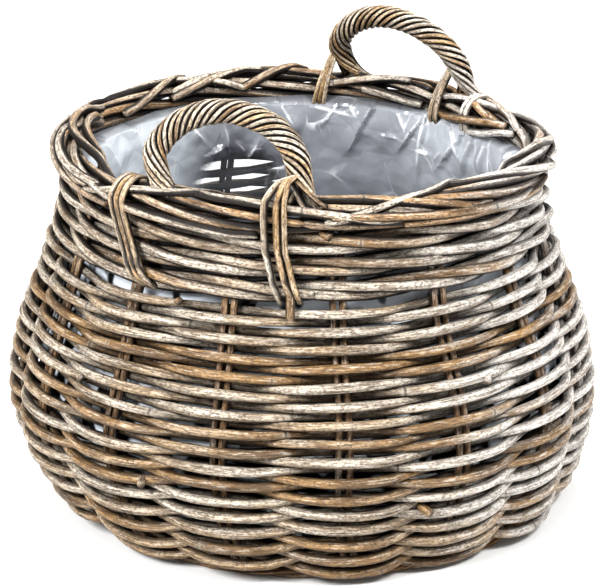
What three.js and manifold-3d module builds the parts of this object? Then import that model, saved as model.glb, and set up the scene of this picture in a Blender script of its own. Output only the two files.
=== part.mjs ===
import * as THREE from 'three';
import { mergeVertices } from 'three/addons/utils/BufferGeometryUtils.js';
import Module from 'manifold-3d';

// Rattan planter basket, in millimetres, +Z up. The axis of the basket is Z, it stands on z = 0,
// and -Y is its front. Angles are measured from the front, and grow towards +X.

// Canes
const STAKE_PAIRS = 15;
const STAKE_DIAMETER = 6.5;
const STAKE_SPACING = 6.3;
const WEAVER_DIAMETER = 8.3;
const WEAVER_COUNT = 12;
const ROW_PITCH = 7.25;
const WALE_DIAMETER = 8.4;
const WALE_ROUNDS = 3;
const BORDER_CANES = 5;
const BORDER_CANE_DIAMETER = 8.4;
const BORDER_TWISTS = 3;
const FIRST_STAKE_ANGLE = 7.7;

// The line that the stakes follow up the wall
const FOOT_RADIUS = 201;
const STAKE_LEVEL = 10.5;
const BELLY_RADIUS = 243;
const BELLY_LEVEL = 108;
const NECK_RADIUS = 193;
const NECK_LEVEL = 272;
const FOOT_FLARE = new THREE.Vector2(30, 14);
const BELLY_FULLNESS_BELOW = 38;
const BELLY_FULLNESS_ABOVE = 32;
const NECK_FLARE = new THREE.Vector2(5, 45);

// Border, a little wider than the neck that it sits on
const BORDER_OVERHANG = 4;
const BORDER_LEVEL = 299.4;

// Base
const MAT_THICKNESS = 11.2;
const MAT_LEVEL = 4.9;
const FOOT_WALE_INSET = 8.5;
const FOOT_WALE_WIDTH = 11;
const STAKE_DEPTH_IN_MAT = 28;
const BASE_STICK_LENGTH = 296;
const BASE_STICK_WIDTH = 12;
const BASE_STICK_HEIGHT = 6.4;

// Liner
const FILM_THICKNESS = 1;
const LINER_CLEARANCE = 0.8;
const LINER_TUCK = 2.5;
const LINER_SIDES = 30;

// Handles
const HANDLE_ROPE_DIAMETER = 21;
const HANDLE_CORE_DIAMETER = 9;
const HANDLE_SPAN = 112;
const HANDLE_RISE = 63;
const HANDLE_BULGE = 5;
const HANDLE_LEAN = 0.33;
const HANDLE_STRANDS = 4;
const HANDLE_TURNS = 3;
const HANDLE_GROOVE = 1;
const FRONT_HANDLE_ANGLE = -19.5;
const BACK_HANDLE_ANGLE = 151.7;
const LASHING_THICKNESS = 5;
const LASHING_WIDTH = 17;
const LASHING_SHARES_OF_WALE = [0.25, 0.55, 0.85];
const LASHING_RISE_ON_LEG = 12;
const LASHING_INSET_ON_LEG = 9.6;

// Clearances between pieces that touch
const CONTACT = 0.3;
const WEAVE_CLEARANCE = 0.55;
const ROW_CLEARANCE = 0.35;
const WALE_ROW_CLEARANCE = 1;
const BORDER_CLEARANCE = 0.45;

// How finely round shapes are cut
const CANE_SIDES = 4;
const BORDER_SIDES = 5;
const BORDER_STEPS_PER_TWIST = 13;
const HANDLE_SIDES = 2 * HANDLE_STRANDS;
const HANDLE_STEPS = 18;
const FOOT_TO_BELLY_PIECES = 5;
const BELLY_TO_NECK_PIECES = 4;

const wasm = await Module();
wasm.setup();

const radians = THREE.MathUtils.degToRad;
const stakeStep = 360 / STAKE_PAIRS;

const colours = {
  stake: 0x6b5140,
  weaver: 0x9a7d5c,
  wale: 0xb7a68c,
  border: 0x8d6c4c,
  handle: 0x8a7058,
  core: 0x7a5c42,
  lashing: 0x94775a,
  base: 0x8f7557,
  liner: 0xc9d2da,
};

const basket = new THREE.Group();

function addPiece(name, geometry, colour, roughness = 0.75) {
  const material = new THREE.MeshStandardMaterial({ color: colour, roughness, metalness: 0 });
  const piece = new THREE.Mesh(geometry, material);
  piece.name = name;
  basket.add(piece);
  return piece;
}

// A point at an angle round the basket
function around(angle, radius, level) {
  const turn = radians(angle);
  return new THREE.Vector3(radius * Math.sin(turn), -radius * Math.cos(turn), level);
}

// Solids

// Turns a list of rings, each a closed loop of points, into one closed solid with flat ends
function loft(rings) {
  const sides = rings[0].length;
  const positions = rings.flat().flatMap((point) => point.toArray());
  const faces = [];
  for (let ring = 0; ring + 1 < rings.length; ring += 1) {
    for (let side = 0; side < sides; side += 1) {
      const next = (side + 1) % sides;
      const a = ring * sides + side;
      const b = ring * sides + next;
      const c = a + sides;
      const d = b + sides;
      faces.push([a, b, d], [a, d, c]);
    }
  }
  const last = (rings.length - 1) * sides;
  for (let side = 1; side + 1 < sides; side += 1) {
    faces.push([0, side + 1, side], [last, last + side, last + side + 1]);
  }
  return outwardSolid(positions, faces);
}

// A closed pipe: the outer rings and the rings of its bore, joined by a flat ring at each end
function loftPipe(outer, inner) {
  const sides = outer[0].length;
  const count = outer.length;
  const positions = [...outer.flat(), ...inner.flat()].flatMap((point) => point.toArray());
  const bore = count * sides;
  const faces = [];
  for (let side = 0; side < sides; side += 1) {
    const next = (side + 1) % sides;
    for (let ring = 0; ring + 1 < count; ring += 1) {
      const a = ring * sides + side;
      const b = ring * sides + next;
      faces.push([a, b, b + sides], [a, b + sides, a + sides]);
      faces.push([bore + a, bore + b + sides, bore + b], [bore + a, bore + a + sides, bore + b + sides]);
    }
    const end = (count - 1) * sides;
    faces.push([side, bore + side, bore + next], [side, bore + next, next]);
    faces.push([end + side, end + next, bore + end + next]);
    faces.push([end + side, bore + end + next, bore + end + side]);
  }
  return outwardSolid(positions, faces);
}

function outwardSolid(positions, faces) {
  const corner = (index) => new THREE.Vector3().fromArray(positions, 3 * index);
  const volume = faces.reduce((sum, [a, b, c]) => sum + corner(a).dot(corner(b).cross(corner(c))), 0);
  const indices = faces.flatMap(([a, b, c]) => (volume < 0 ? [a, c, b] : [a, b, c]));
  const geometry = new THREE.BufferGeometry();
  geometry.setAttribute('position', new THREE.Float32BufferAttribute(positions, 3));
  geometry.setIndex(indices);
  geometry.computeVertexNormals();
  return geometry;
}

// A loop of points round a cane, square to the way it runs
function caneRing(centre, along, outward, halfOut, halfUp, sides, startTurn = 0) {
  const up = new THREE.Vector3().crossVectors(outward, along).normalize();
  const out = new THREE.Vector3().crossVectors(along, up).normalize();
  return Array.from({ length: sides }, (_, side) => {
    const turn = startTurn + (2 * Math.PI * side) / sides;
    return centre.clone()
      .addScaledVector(out, halfOut * Math.cos(turn))
      .addScaledVector(up, halfUp * Math.sin(turn));
  });
}

function toManifold(geometry) {
  const bare = geometry.clone();
  bare.deleteAttribute('normal');
  bare.deleteAttribute('uv');
  const merged = mergeVertices(bare, 1e-4);
  return new wasm.Manifold(new wasm.Mesh({
    numProp: 3,
    vertProperties: new Float32Array(merged.attributes.position.array),
    triVerts: new Uint32Array(merged.index.array),
  }));
}

function fromManifold(solid) {
  const mesh = solid.getMesh();
  const geometry = new THREE.BufferGeometry();
  geometry.setAttribute('position', new THREE.Float32BufferAttribute(mesh.vertProperties, 3));
  geometry.setIndex(Array.from(mesh.triVerts));
  geometry.computeVertexNormals();
  return geometry;
}

// The wall: straight pieces that follow the foot, the belly and the neck

const borderRadius = NECK_RADIUS + BORDER_OVERHANG;
const borderRopeRadius = (BORDER_CANE_DIAMETER + BORDER_CLEARANCE) / 2 / Math.sin(Math.PI / BORDER_CANES);
const borderHalfHeight = borderRopeRadius + BORDER_CANE_DIAMETER / 2;
const rimLevel = BORDER_LEVEL - borderHalfHeight - CONTACT;

const foot = new THREE.Vector2(FOOT_RADIUS, STAKE_LEVEL);
const belly = new THREE.Vector2(BELLY_RADIUS, BELLY_LEVEL);
const neck = new THREE.Vector2(NECK_RADIUS, NECK_LEVEL);
const footToBelly = new THREE.CubicBezierCurve(
  foot,
  foot.clone().add(FOOT_FLARE),
  belly.clone().sub(new THREE.Vector2(0, BELLY_FULLNESS_BELOW)),
  belly,
);
const bellyToNeck = new THREE.CubicBezierCurve(
  belly,
  belly.clone().add(new THREE.Vector2(0, BELLY_FULLNESS_ABOVE)),
  neck.clone().add(new THREE.Vector2(NECK_FLARE.x, -NECK_FLARE.y)),
  neck,
);
const wallLine = [
  ...footToBelly.getPoints(FOOT_TO_BELLY_PIECES),
  ...bellyToNeck.getPoints(BELLY_TO_NECK_PIECES).slice(1),
  new THREE.Vector2(NECK_RADIUS, rimLevel),
];
const wallDistance = [0];
for (let i = 1; i < wallLine.length; i += 1) {
  wallDistance.push(wallDistance[i - 1] + wallLine[i].distanceTo(wallLine[i - 1]));
}
const wallLength = wallDistance.at(-1);
const wallAlong = wallLine.map((point, i) => {
  const before = wallLine[Math.max(i - 1, 0)];
  const after = wallLine[Math.min(i + 1, wallLine.length - 1)];
  const arriving = point.clone().sub(before).normalize();
  return after.clone().sub(point).normalize().add(arriving).normalize();
});

// The radius and level at a distance up the wall, and at an offset outwards from the stakes
function wallAt(distance, offset = 0) {
  const lastPiece = wallLine.length - 2;
  const reached = wallDistance.findIndex((reach) => reach > distance);
  const piece = reached < 0 ? lastPiece : Math.max(reached - 1, 0);
  const share = (distance - wallDistance[piece]) / (wallDistance[piece + 1] - wallDistance[piece]);
  const point = wallLine[piece].clone().lerp(wallLine[piece + 1], share);
  const along = wallAlong[piece].clone().lerp(wallAlong[piece + 1], share).normalize();
  return { radius: point.x + offset * along.y, level: point.y - offset * along.x };
}

function wallPoint(angle, distance, offset = 0) {
  const { radius, level } = wallAt(distance, offset);
  return around(angle, radius, level);
}

function wallOutward(angle, distance) {
  return wallPoint(angle, distance, 1).sub(wallPoint(angle, distance, 0)).normalize();
}

// Stakes

const halfSpacing = STAKE_SPACING / 2;
const halfStake = STAKE_DIAMETER / 2;
const stakeWaist = 0.5 * halfStake;
const stakePairOutline = [
  [halfSpacing + halfStake, 0],
  [halfSpacing, halfStake],
  [0, stakeWaist],
  [-halfSpacing, halfStake],
  [-halfSpacing - halfStake, 0],
  [-halfSpacing, -halfStake],
  [0, -stakeWaist],
  [halfSpacing, -halfStake],
];
const footWaleInnerRadius = FOOT_RADIUS - FOOT_WALE_INSET;
const stakeInnerRadius = footWaleInnerRadius - CONTACT - STAKE_DEPTH_IN_MAT;

function stakePair(angle) {
  const line = [new THREE.Vector2(stakeInnerRadius, STAKE_LEVEL), ...wallLine];
  const sideways = around(angle + 90, 1, 0);
  const rings = line.map((point, i) => {
    const before = line[Math.max(i - 1, 0)];
    const after = line[Math.min(i + 1, line.length - 1)];
    const arriving = point.clone().sub(before).normalize();
    const leaving = after.clone().sub(point).normalize();
    const along = arriving.clone().add(leaving).normalize();
    // The cut across a bend is wider than the cane
    const bend = i > 0 && i + 1 < line.length ? along.dot(leaving) : 1;
    return stakePairOutline.map(([side, out]) => {
      const radius = point.x + (along.y * out) / bend;
      const level = point.y - (along.x * out) / bend;
      return around(angle, radius, level).addScaledVector(sideways, side);
    });
  });
  return loft(rings);
}

for (let pair = 0; pair < STAKE_PAIRS; pair += 1) {
  const name = `stake_pair_${String(pair + 1).padStart(2, '0')}`;
  addPiece(name, stakePair(FIRST_STAKE_ANGLE + pair * stakeStep), colours.stake);
}

// Weavers: in front of one pair of stakes, behind the next

const halfWeaver = WEAVER_DIAMETER / 2;
const swingIn = halfStake + WEAVE_CLEARANCE + halfWeaver;

// A cane bends over a pair of stakes, so its middle swings out a little further than it swings in
const halfGap = radians(stakeStep / 2);
const narrowestRadius = Math.min(FOOT_RADIUS, NECK_RADIUS);
const bendRise = swingIn + narrowestRadius * (1 - Math.cos(halfGap));
const bendSlope = bendRise / (narrowestRadius * Math.sin(halfGap));
const bendRoom = bendSlope * (halfSpacing + stakeWaist) + halfWeaver * (Math.hypot(1, bendSlope) - 1);
const swingOut = swingIn + bendRoom;
const swingMiddle = (swingOut - swingIn) / 2;

const waleHeight = WALE_DIAMETER + WALE_ROW_CLEARANCE;
const waleRise = 2 * waleHeight;
const waleFoot = wallLength - CONTACT - WALE_ROUNDS * waleRise;
const weaveStart = halfWeaver;
const weaveEnd = waleFoot - CONTACT - halfWeaver;
const stakesPassed = (STAKE_PAIRS * (weaveEnd - weaveStart)) / ROW_PITCH;

// Where the canes run at each half step: behind a pair, in the gap, in front of a pair, in the gap
const weaverRoute = [-swingIn, swingMiddle, swingOut, swingMiddle];

function weaverPoint(halfStep) {
  const distance = weaveStart + (halfStep * ROW_PITCH) / (2 * STAKE_PAIRS);
  const angle = FIRST_STAKE_ANGLE + (halfStep * stakeStep) / 2;
  return {
    centre: wallPoint(angle, distance, weaverRoute[halfStep % weaverRoute.length]),
    outward: wallOutward(angle, distance),
  };
}

// In the gaps the rows cross, and press each other down to the height of a row
function weaver(firstStep, lastStep) {
  const pressed = (ROW_PITCH - ROW_CLEARANCE) / 2;
  const places = [];
  for (let step = firstStep; step <= lastStep; step += 1) places.push(weaverPoint(step));
  const rings = places.map(({ centre, outward }, i) => {
    const before = places[Math.max(i - 1, 0)].centre;
    const after = places[Math.min(i + 1, places.length - 1)].centre;
    // The two ends lie square to the wall, where one cane butts on the next
    const isEnd = i === 0 || i === places.length - 1;
    const angle = FIRST_STAKE_ANGLE + ((firstStep + i) * stakeStep) / 2;
    const along = isEnd ? around(angle + 90, 1, 0) : after.clone().sub(before).normalize();
    const middle = centre.clone();
    if (i === 0) middle.addScaledVector(along, CONTACT / 2);
    if (i === places.length - 1) middle.addScaledVector(along, -CONTACT / 2);
    const halfHeight = i % 2 ? pressed : halfWeaver;
    return caneRing(middle, along, outward, halfWeaver, halfHeight, CANE_SIDES);
  });
  return loft(rings);
}

// A cane ends behind a pair of stakes, and passes an even number of them
function caneEnd(cane) {
  return 4 * Math.round((cane * stakesPassed) / WEAVER_COUNT / 2);
}

for (let i = 0; i < WEAVER_COUNT; i += 1) {
  const name = `weaver_${String(i + 1).padStart(2, '0')}`;
  addPiece(name, weaver(caneEnd(i), caneEnd(i + 1)), colours.weaver);
}

// Wale: rounds of three canes that turn round each other, each in front of two pairs and behind one

const WALE_CANES = 3;

// Where a cane is at each half step: outwards and up, from the middle of the round
const waleRoute = [
  [-swingIn, 0],
  [0, 0.5],
  [swingOut, 0.5],
  [swingOut, 0],
  [swingOut, -0.5],
  [0, -0.5],
];

function walePoint(round, cane, halfStep) {
  const [offset, rise] = waleRoute[(halfStep + 2 * cane) % waleRoute.length];
  const angle = FIRST_STAKE_ANGLE + (halfStep * stakeStep) / 2;
  const distance = waleFoot + waleRise * (round + 0.5) + rise * waleHeight;
  return {
    angle,
    centre: wallPoint(angle, distance, offset),
    outward: wallOutward(angle, distance),
  };
}

// A cane makes one round, and its ends meet behind a pair of stakes
function waleCane(round, cane) {
  const first = (waleRoute.length - 2 * cane) % waleRoute.length;
  const count = 2 * STAKE_PAIRS + 1;
  const places = Array.from({ length: count }, (_, i) => walePoint(round, cane, first + i));
  const rings = places.map(({ angle, centre, outward }, i) => {
    const before = places[Math.max(i - 1, 0)].centre;
    const after = places[Math.min(i + 1, count - 1)].centre;
    const isEnd = i === 0 || i === count - 1;
    const along = isEnd ? around(angle + 90, 1, 0) : after.clone().sub(before).normalize();
    if (i === 0) centre.addScaledVector(along, CONTACT / 2);
    if (i === count - 1) centre.addScaledVector(along, -CONTACT / 2);
    return caneRing(centre, along, outward, WALE_DIAMETER / 2, WALE_DIAMETER / 2, CANE_SIDES);
  });
  return loft(rings);
}

for (let round = 0; round < WALE_ROUNDS; round += 1) {
  for (let cane = 0; cane < WALE_CANES; cane += 1) {
    addPiece(`wale_round_${round + 1}_cane_${cane + 1}`, waleCane(round, cane), colours.wale);
  }
}

// Border: thick canes laid up as a round rope, each closing on itself with a butt

function borderCane(cane) {
  const steps = BORDER_TWISTS * BORDER_STEPS_PER_TWIST;
  const start = (cane * 360) / BORDER_CANES;
  const place = (step) => {
    const angle = start + (360 * step) / steps;
    const turn = radians(start - BORDER_TWISTS * angle);
    const radius = borderRadius + borderRopeRadius * Math.cos(turn);
    const level = BORDER_LEVEL + borderRopeRadius * Math.sin(turn);
    return { centre: around(angle, radius, level), middle: around(angle, borderRadius, BORDER_LEVEL) };
  };
  const rings = [];
  for (let step = 0; step <= steps; step += 1) {
    const { centre, middle } = place(step);
    const along = place(step + 1).centre.sub(place(step - 1).centre).normalize();
    const outward = centre.clone().sub(middle).normalize();
    const half = BORDER_CANE_DIAMETER / 2;
    if (step === 0) centre.addScaledVector(along, CONTACT / 2);
    if (step === steps) centre.addScaledVector(along, -CONTACT / 2);
    rings.push(caneRing(centre, along, outward, half, half, BORDER_SIDES));
  }
  return loft(rings);
}

for (let cane = 0; cane < BORDER_CANES; cane += 1) {
  addPiece(`border_cane_${cane + 1}`, borderCane(cane), colours.border);
}

// Handles: a bow of twisted canes round a core cane, leaning in over the mouth

const borderTop = BORDER_LEVEL + borderHalfHeight;
const handleFootLevel = borderTop + CONTACT;
const handleFootAngle = THREE.MathUtils.radToDeg(Math.asin(HANDLE_SPAN / 2 / borderRadius));
const handleWidth = HANDLE_SPAN + 2 * HANDLE_BULGE;

// The upper part of an ellipse, which draws in again towards the feet
function handleLine() {
  const start = -Math.acos(HANDLE_SPAN / handleWidth);
  const middle = (-HANDLE_RISE * Math.sin(start)) / (1 - Math.sin(start));
  return Array.from({ length: HANDLE_STEPS + 1 }, (_, step) => {
    const turn = start + ((Math.PI - 2 * start) * step) / HANDLE_STEPS;
    return new THREE.Vector2(
      (-handleWidth / 2) * Math.cos(turn),
      middle + (HANDLE_RISE - middle) * Math.sin(turn),
    );
  });
}

// Rings of a bow. grooved alternates the ring's points between ridge and groove, and lays them up
function bowRings(angle, diameter, grooved) {
  const outward = around(angle, 1, 0);
  const sideways = around(angle + 90, 1, 0);
  const footDistance = borderRadius * Math.cos(radians(handleFootAngle));
  const lean = new THREE.Vector3(0, 0, 1).addScaledVector(outward, -HANDLE_LEAN);
  const start = outward.clone().multiplyScalar(footDistance).setZ(handleFootLevel);
  const line = handleLine();
  const points = line.map(({ x, y }) => (
    start.clone().addScaledVector(sideways, x).addScaledVector(lean, y)
  ));
  const face = new THREE.Vector3().crossVectors(sideways, lean).normalize();
  return points.map((centre, i) => {
    const before = points[Math.max(i - 1, 0)];
    const after = points[Math.min(i + 1, points.length - 1)];
    const isEnd = i === 0 || i === points.length - 1;
    const along = isEnd ? new THREE.Vector3(0, 0, i === 0 ? 1 : -1) : after.clone().sub(before).normalize();
    const turn = grooved ? (2 * Math.PI * HANDLE_TURNS * i) / (HANDLE_STRANDS * points.length) : 0;
    const half = diameter / 2;
    const ring = caneRing(centre, along, face, half, half, HANDLE_SIDES, turn);
    if (!grooved) return ring;
    return ring.map((point, side) => (side % 2 ? point.lerp(centre, HANDLE_GROOVE / half) : point));
  });
}

function handle(place, angle) {
  const rope = bowRings(angle, HANDLE_ROPE_DIAMETER, true);
  const bore = bowRings(angle, HANDLE_CORE_DIAMETER + 2 * CONTACT, false);
  addPiece(`handle_rope_${place}`, loftPipe(rope, bore), colours.handle);
  addPiece(`handle_core_${place}`, loft(bowRings(angle, HANDLE_CORE_DIAMETER, false)), colours.core);
}

// Lashings, each a band that goes over the border and down the outside of the wale

const halfLashing = LASHING_THICKNESS / 2;
const lashingBends = 6;
const lashingReach = (borderHalfHeight + 2 * CONTACT) / Math.cos(Math.PI / lashingBends / 2) + halfLashing;

// Over the border, from its inside to its outside
const overBorder = Array.from({ length: lashingBends + 1 }, (_, i) => {
  const turn = Math.PI - (Math.PI * i) / lashingBends;
  return new THREE.Vector2(
    borderRadius + lashingReach * Math.cos(turn),
    BORDER_LEVEL + lashingReach * Math.sin(turn),
  );
});

// Down the front of a handle's foot
const legFace = borderRadius + HANDLE_ROPE_DIAMETER / 2 + 2 * CONTACT + halfLashing;
const downLeg = [
  new THREE.Vector2(legFace - HANDLE_LEAN * LASHING_RISE_ON_LEG, borderTop + LASHING_RISE_ON_LEG),
  new THREE.Vector2(legFace, borderTop),
  overBorder.at(-1),
];

function lashing(angle, start) {
  const sideways = around(angle + 90, 1, 0);
  const waleFace = swingOut + WALE_DIAMETER / 2 + 2 * CONTACT + halfLashing;
  const downWale = LASHING_SHARES_OF_WALE.map((share) => {
    const { radius, level } = wallAt(wallLength - share * WALE_ROUNDS * waleRise, waleFace);
    return new THREE.Vector2(radius, level);
  });
  const line = [...start, ...downWale];
  const rings = line.map((point, i) => {
    const before = line[Math.max(i - 1, 0)];
    const after = line[Math.min(i + 1, line.length - 1)];
    const along = after.clone().sub(before).normalize();
    const corners = [[1, 1], [1, -1], [-1, -1], [-1, 1]];
    return corners.map(([side, out]) => (
      around(angle, point.x + out * halfLashing * along.y, point.y - out * halfLashing * along.x)
        .addScaledVector(sideways, (side * LASHING_WIDTH) / 2)
    ));
  });
  return loft(rings);
}

const degreesOfBorder = (length) => THREE.MathUtils.radToDeg(length / borderRadius);
const besideFoot = (HANDLE_ROPE_DIAMETER + LASHING_WIDTH) / 2 + HANDLE_BULGE + CONTACT;
const besideAngle = handleFootAngle + degreesOfBorder(besideFoot);
const onLegAngle = handleFootAngle - degreesOfBorder(LASHING_INSET_ON_LEG);

handle('front', FRONT_HANDLE_ANGLE);
addPiece('lashing_front_left', lashing(FRONT_HANDLE_ANGLE - besideAngle, overBorder), colours.lashing);
addPiece('lashing_front_right', lashing(FRONT_HANDLE_ANGLE + onLegAngle, downLeg), colours.lashing);
handle('back', BACK_HANDLE_ANGLE);
addPiece('lashing_back_left', lashing(BACK_HANDLE_ANGLE - besideAngle, overBorder), colours.lashing);
addPiece('lashing_back_right', lashing(BACK_HANDLE_ANGLE + besideAngle, overBorder), colours.lashing);

// Base: a round mat that the stakes are pushed into, with two crossed sticks let into its top

const matRadius = footWaleInnerRadius - CONTACT;
const matTop = MAT_LEVEL + MAT_THICKNESS;

function box(width, depth, height, middle) {
  const geometry = new THREE.BoxGeometry(width, depth, height);
  geometry.translate(middle.x, middle.y, middle.z);
  return geometry;
}

function baseMat() {
  const disc = new THREE.CylinderGeometry(matRadius, matRadius, MAT_THICKNESS, 2 * STAKE_PAIRS);
  disc.rotateX(Math.PI / 2);
  disc.translate(0, 0, MAT_LEVEL + MAT_THICKNESS / 2);
  let mat = toManifold(disc);
  const socketLength = STAKE_DEPTH_IN_MAT + 2 * CONTACT;
  const socketWidth = STAKE_SPACING + STAKE_DIAMETER + 2 * CONTACT;
  const socketHeight = STAKE_DIAMETER + 2 * CONTACT;
  for (let pair = 0; pair < STAKE_PAIRS; pair += 1) {
    const middle = new THREE.Vector3(0, CONTACT - matRadius + STAKE_DEPTH_IN_MAT / 2 - CONTACT, STAKE_LEVEL);
    const socket = box(socketWidth, socketLength, socketHeight, middle);
    socket.rotateZ(radians(FIRST_STAKE_ANGLE + pair * stakeStep));
    mat = mat.subtract(toManifold(socket));
  }
  const grooveLength = BASE_STICK_LENGTH + 2 * CONTACT;
  const grooveWidth = BASE_STICK_WIDTH + 2 * CONTACT;
  const grooveDepth = BASE_STICK_HEIGHT + CONTACT;
  const grooveMiddle = new THREE.Vector3(0, 0, matTop);
  mat = mat.subtract(toManifold(box(grooveLength, grooveWidth, 2 * grooveDepth, grooveMiddle)));
  mat = mat.subtract(toManifold(box(grooveWidth, grooveLength, 2 * grooveDepth, grooveMiddle)));
  return fromManifold(mat);
}

// A base stick with half its height cut away in the middle, where the other stick crosses it
function baseStick(cutFromTop) {
  const stick = box(BASE_STICK_LENGTH, BASE_STICK_WIDTH, BASE_STICK_HEIGHT, new THREE.Vector3());
  const side = cutFromTop ? 1 : -1;
  const lapWidth = BASE_STICK_WIDTH + 2 * CONTACT;
  const lapMiddle = new THREE.Vector3(0, 0, side * (BASE_STICK_HEIGHT / 2 - CONTACT / 2));
  const lap = box(lapWidth, 2 * BASE_STICK_WIDTH, BASE_STICK_HEIGHT, lapMiddle);
  return fromManifold(toManifold(stick).subtract(toManifold(lap)));
}

addPiece('base_mat', baseMat(), colours.base);
const stickLevel = matTop - BASE_STICK_HEIGHT / 2;
addPiece('base_stick_lower', baseStick(true), colours.base).position.set(0, 0, stickLevel);
const upperStick = addPiece('base_stick_upper', baseStick(false), colours.base);
upperStick.position.set(0, 0, stickLevel);
upperStick.rotation.z = Math.PI / 2;

// Foot wale: the ring under the stakes that the basket stands on

function footWale() {
  const top = STAKE_LEVEL - halfStake - CONTACT;
  const inner = footWaleInnerRadius;
  const outer = inner + FOOT_WALE_WIDTH;
  const shoulder = top / 3;
  const outline = [
    [inner + shoulder, 0],
    [outer - shoulder, 0],
    [outer, shoulder],
    [outer, top - shoulder],
    [outer - shoulder, top],
    [inner, top],
    [inner, shoulder],
    [inner + shoulder, 0],
  ];
  const geometry = new THREE.LatheGeometry(outline.map(([r, z]) => new THREE.Vector2(r, z)), 2 * STAKE_PAIRS);
  geometry.rotateX(Math.PI / 2);
  return fromManifold(toManifold(geometry));
}

addPiece('foot_wale', footWale(), colours.base);

// Liner: an open shell of film that lies inside the wall

function liner() {
  const clear = swingIn + halfWeaver + LINER_CLEARANCE;
  const bottom = matTop + CONTACT;
  const top = BORDER_LEVEL - LINER_TUCK;
  const side = (inset) => {
    const line = [];
    wallDistance.forEach((distance, i) => {
      if (i === 0) return;
      const middle = (distance + wallDistance[i - 1]) / 2;
      const { radius, level } = wallAt(middle, -clear - inset);
      if (level > bottom + inset + 1 && level < top - 1) {
        line.push(new THREE.Vector2(radius, level));
      }
    });
    const { radius } = wallAt(wallLength, -clear - inset);
    line.push(new THREE.Vector2(radius, top));
    return line;
  };
  const cornerRadius = matRadius;
  const outline = [
    new THREE.Vector2(0, bottom),
    new THREE.Vector2(cornerRadius, bottom),
    ...side(0),
    ...side(FILM_THICKNESS).reverse(),
    new THREE.Vector2(cornerRadius - FILM_THICKNESS, bottom + FILM_THICKNESS),
    new THREE.Vector2(0, bottom + FILM_THICKNESS),
  ];
  const geometry = new THREE.LatheGeometry(outline, LINER_SIDES);
  geometry.rotateX(Math.PI / 2);
  return fromManifold(toManifold(geometry));
}

addPiece('liner', liner(), colours.liner, 0.25);

export default basket;
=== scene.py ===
import math
import random
from bisect import bisect_right

import bmesh
import bpy
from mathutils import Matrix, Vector, geometry, noise


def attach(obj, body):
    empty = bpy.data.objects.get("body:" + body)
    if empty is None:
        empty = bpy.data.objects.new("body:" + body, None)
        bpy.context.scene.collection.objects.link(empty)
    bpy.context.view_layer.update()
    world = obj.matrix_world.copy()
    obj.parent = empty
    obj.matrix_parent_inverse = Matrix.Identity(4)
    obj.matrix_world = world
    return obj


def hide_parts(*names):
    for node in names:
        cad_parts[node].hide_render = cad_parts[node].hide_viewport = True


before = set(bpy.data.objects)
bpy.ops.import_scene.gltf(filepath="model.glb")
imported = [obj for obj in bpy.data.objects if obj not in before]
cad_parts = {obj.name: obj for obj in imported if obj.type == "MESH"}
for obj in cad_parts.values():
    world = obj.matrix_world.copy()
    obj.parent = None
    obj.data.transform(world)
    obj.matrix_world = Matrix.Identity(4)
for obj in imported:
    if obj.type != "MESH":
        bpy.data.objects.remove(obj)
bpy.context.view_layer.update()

# Rattan planter basket. Sizes are in millimetres until a mesh is placed, +Z is up, and -Y is the
# front. Angles are in degrees round the basket, from the front towards +X.

MM = 0.001

# Canes
STAKE_PAIRS = 15
STAKE_DIAMETER = 6.0
STAKE_SPACING = 7.4
STAKE_ROOT = 164
FIRST_STAKE_ANGLE = 7.7
WEAVER_DIAMETER = 8.1
WEAVER_COUNT = 12
ROW_PITCH = 7.25
ROW_CLEARANCE = 0.3
WALE_DIAMETER = 8.4
WALE_HALF_OUT = 0.46 * WALE_DIAMETER
WALE_HALF_UP = 0.545 * WALE_DIAMETER
WALE_ROUNDS = 3
WALE_ROW_HEIGHT = 9.4
WALE_CANES = 3
INTERNODE = 190
NODE_SWELLING = 0.055
NODE_REACH = 4
STEPS_PER_STAKE = 16

# The line of the stakes up the wall: radius and level
FOOT = Vector((202, 10.5))
BELLY = Vector((240, 108))
NECK = Vector((193, 272))
FOOT_FLARE = Vector((20, 14))
BELLY_FULLNESS_BELOW = Vector((0, -34))
BELLY_FULLNESS_ABOVE = Vector((0, 32))
NECK_FLARE = Vector((5, -45))
RIM_LEVEL = 287.4

# How far the canes swing inwards and outwards of the stakes
SWING_IN = 7.3
SWING_OUT = 9.2

# Border, and the canes turned down over it
BORDER_RADIUS = 197
BORDER_LEVEL = 299.4
BORDER_CANES = 5
BORDER_CANE_DIAMETER = 8.0
BORDER_TWISTS = 3
BORDER_ROPE_RADIUS = 7.9
TURNED_DOWN_DIAMETER = 7.6
TURNED_DOWN_REACH = BORDER_ROPE_RADIUS + 5
TUCKED_UNDER = 6
LOOPED_UP = 4

# Handles
FRONT_HANDLE_ANGLE = -19.5
BACK_HANDLE_ANGLE = 151.7
HANDLE_SPAN = 112
HANDLE_WIDTH = 122
HANDLE_RISE = 63
HANDLE_LEAN = 0.33
HANDLE_FOOT_LEVEL = 311.4
HANDLE_STRANDS = 9
HANDLE_STRAND_DIAMETER = 4.2
HANDLE_ROPE_RADIUS = 8.1
HANDLE_CORE_DIAMETER = 9
HANDLE_LAY = 64
HANDLE_SPLAY = 30
SPLAY_REACH = 34

# Lashings, whose places are degrees from the middle of a handle
HANDLE_LEG = 17
LASHING_DIAMETER = 5.4
LASHING_REACH = 17.2
LASHING_FACE = 17.4
LASHING_BESIDE_FOOT = 23.6
CORE_COMES_OUT = ("front", "right")
CORE_END_ANGLE = -2.7
CORE_END_DIAMETER = 7
CORE_END_OFFSET = 11

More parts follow.
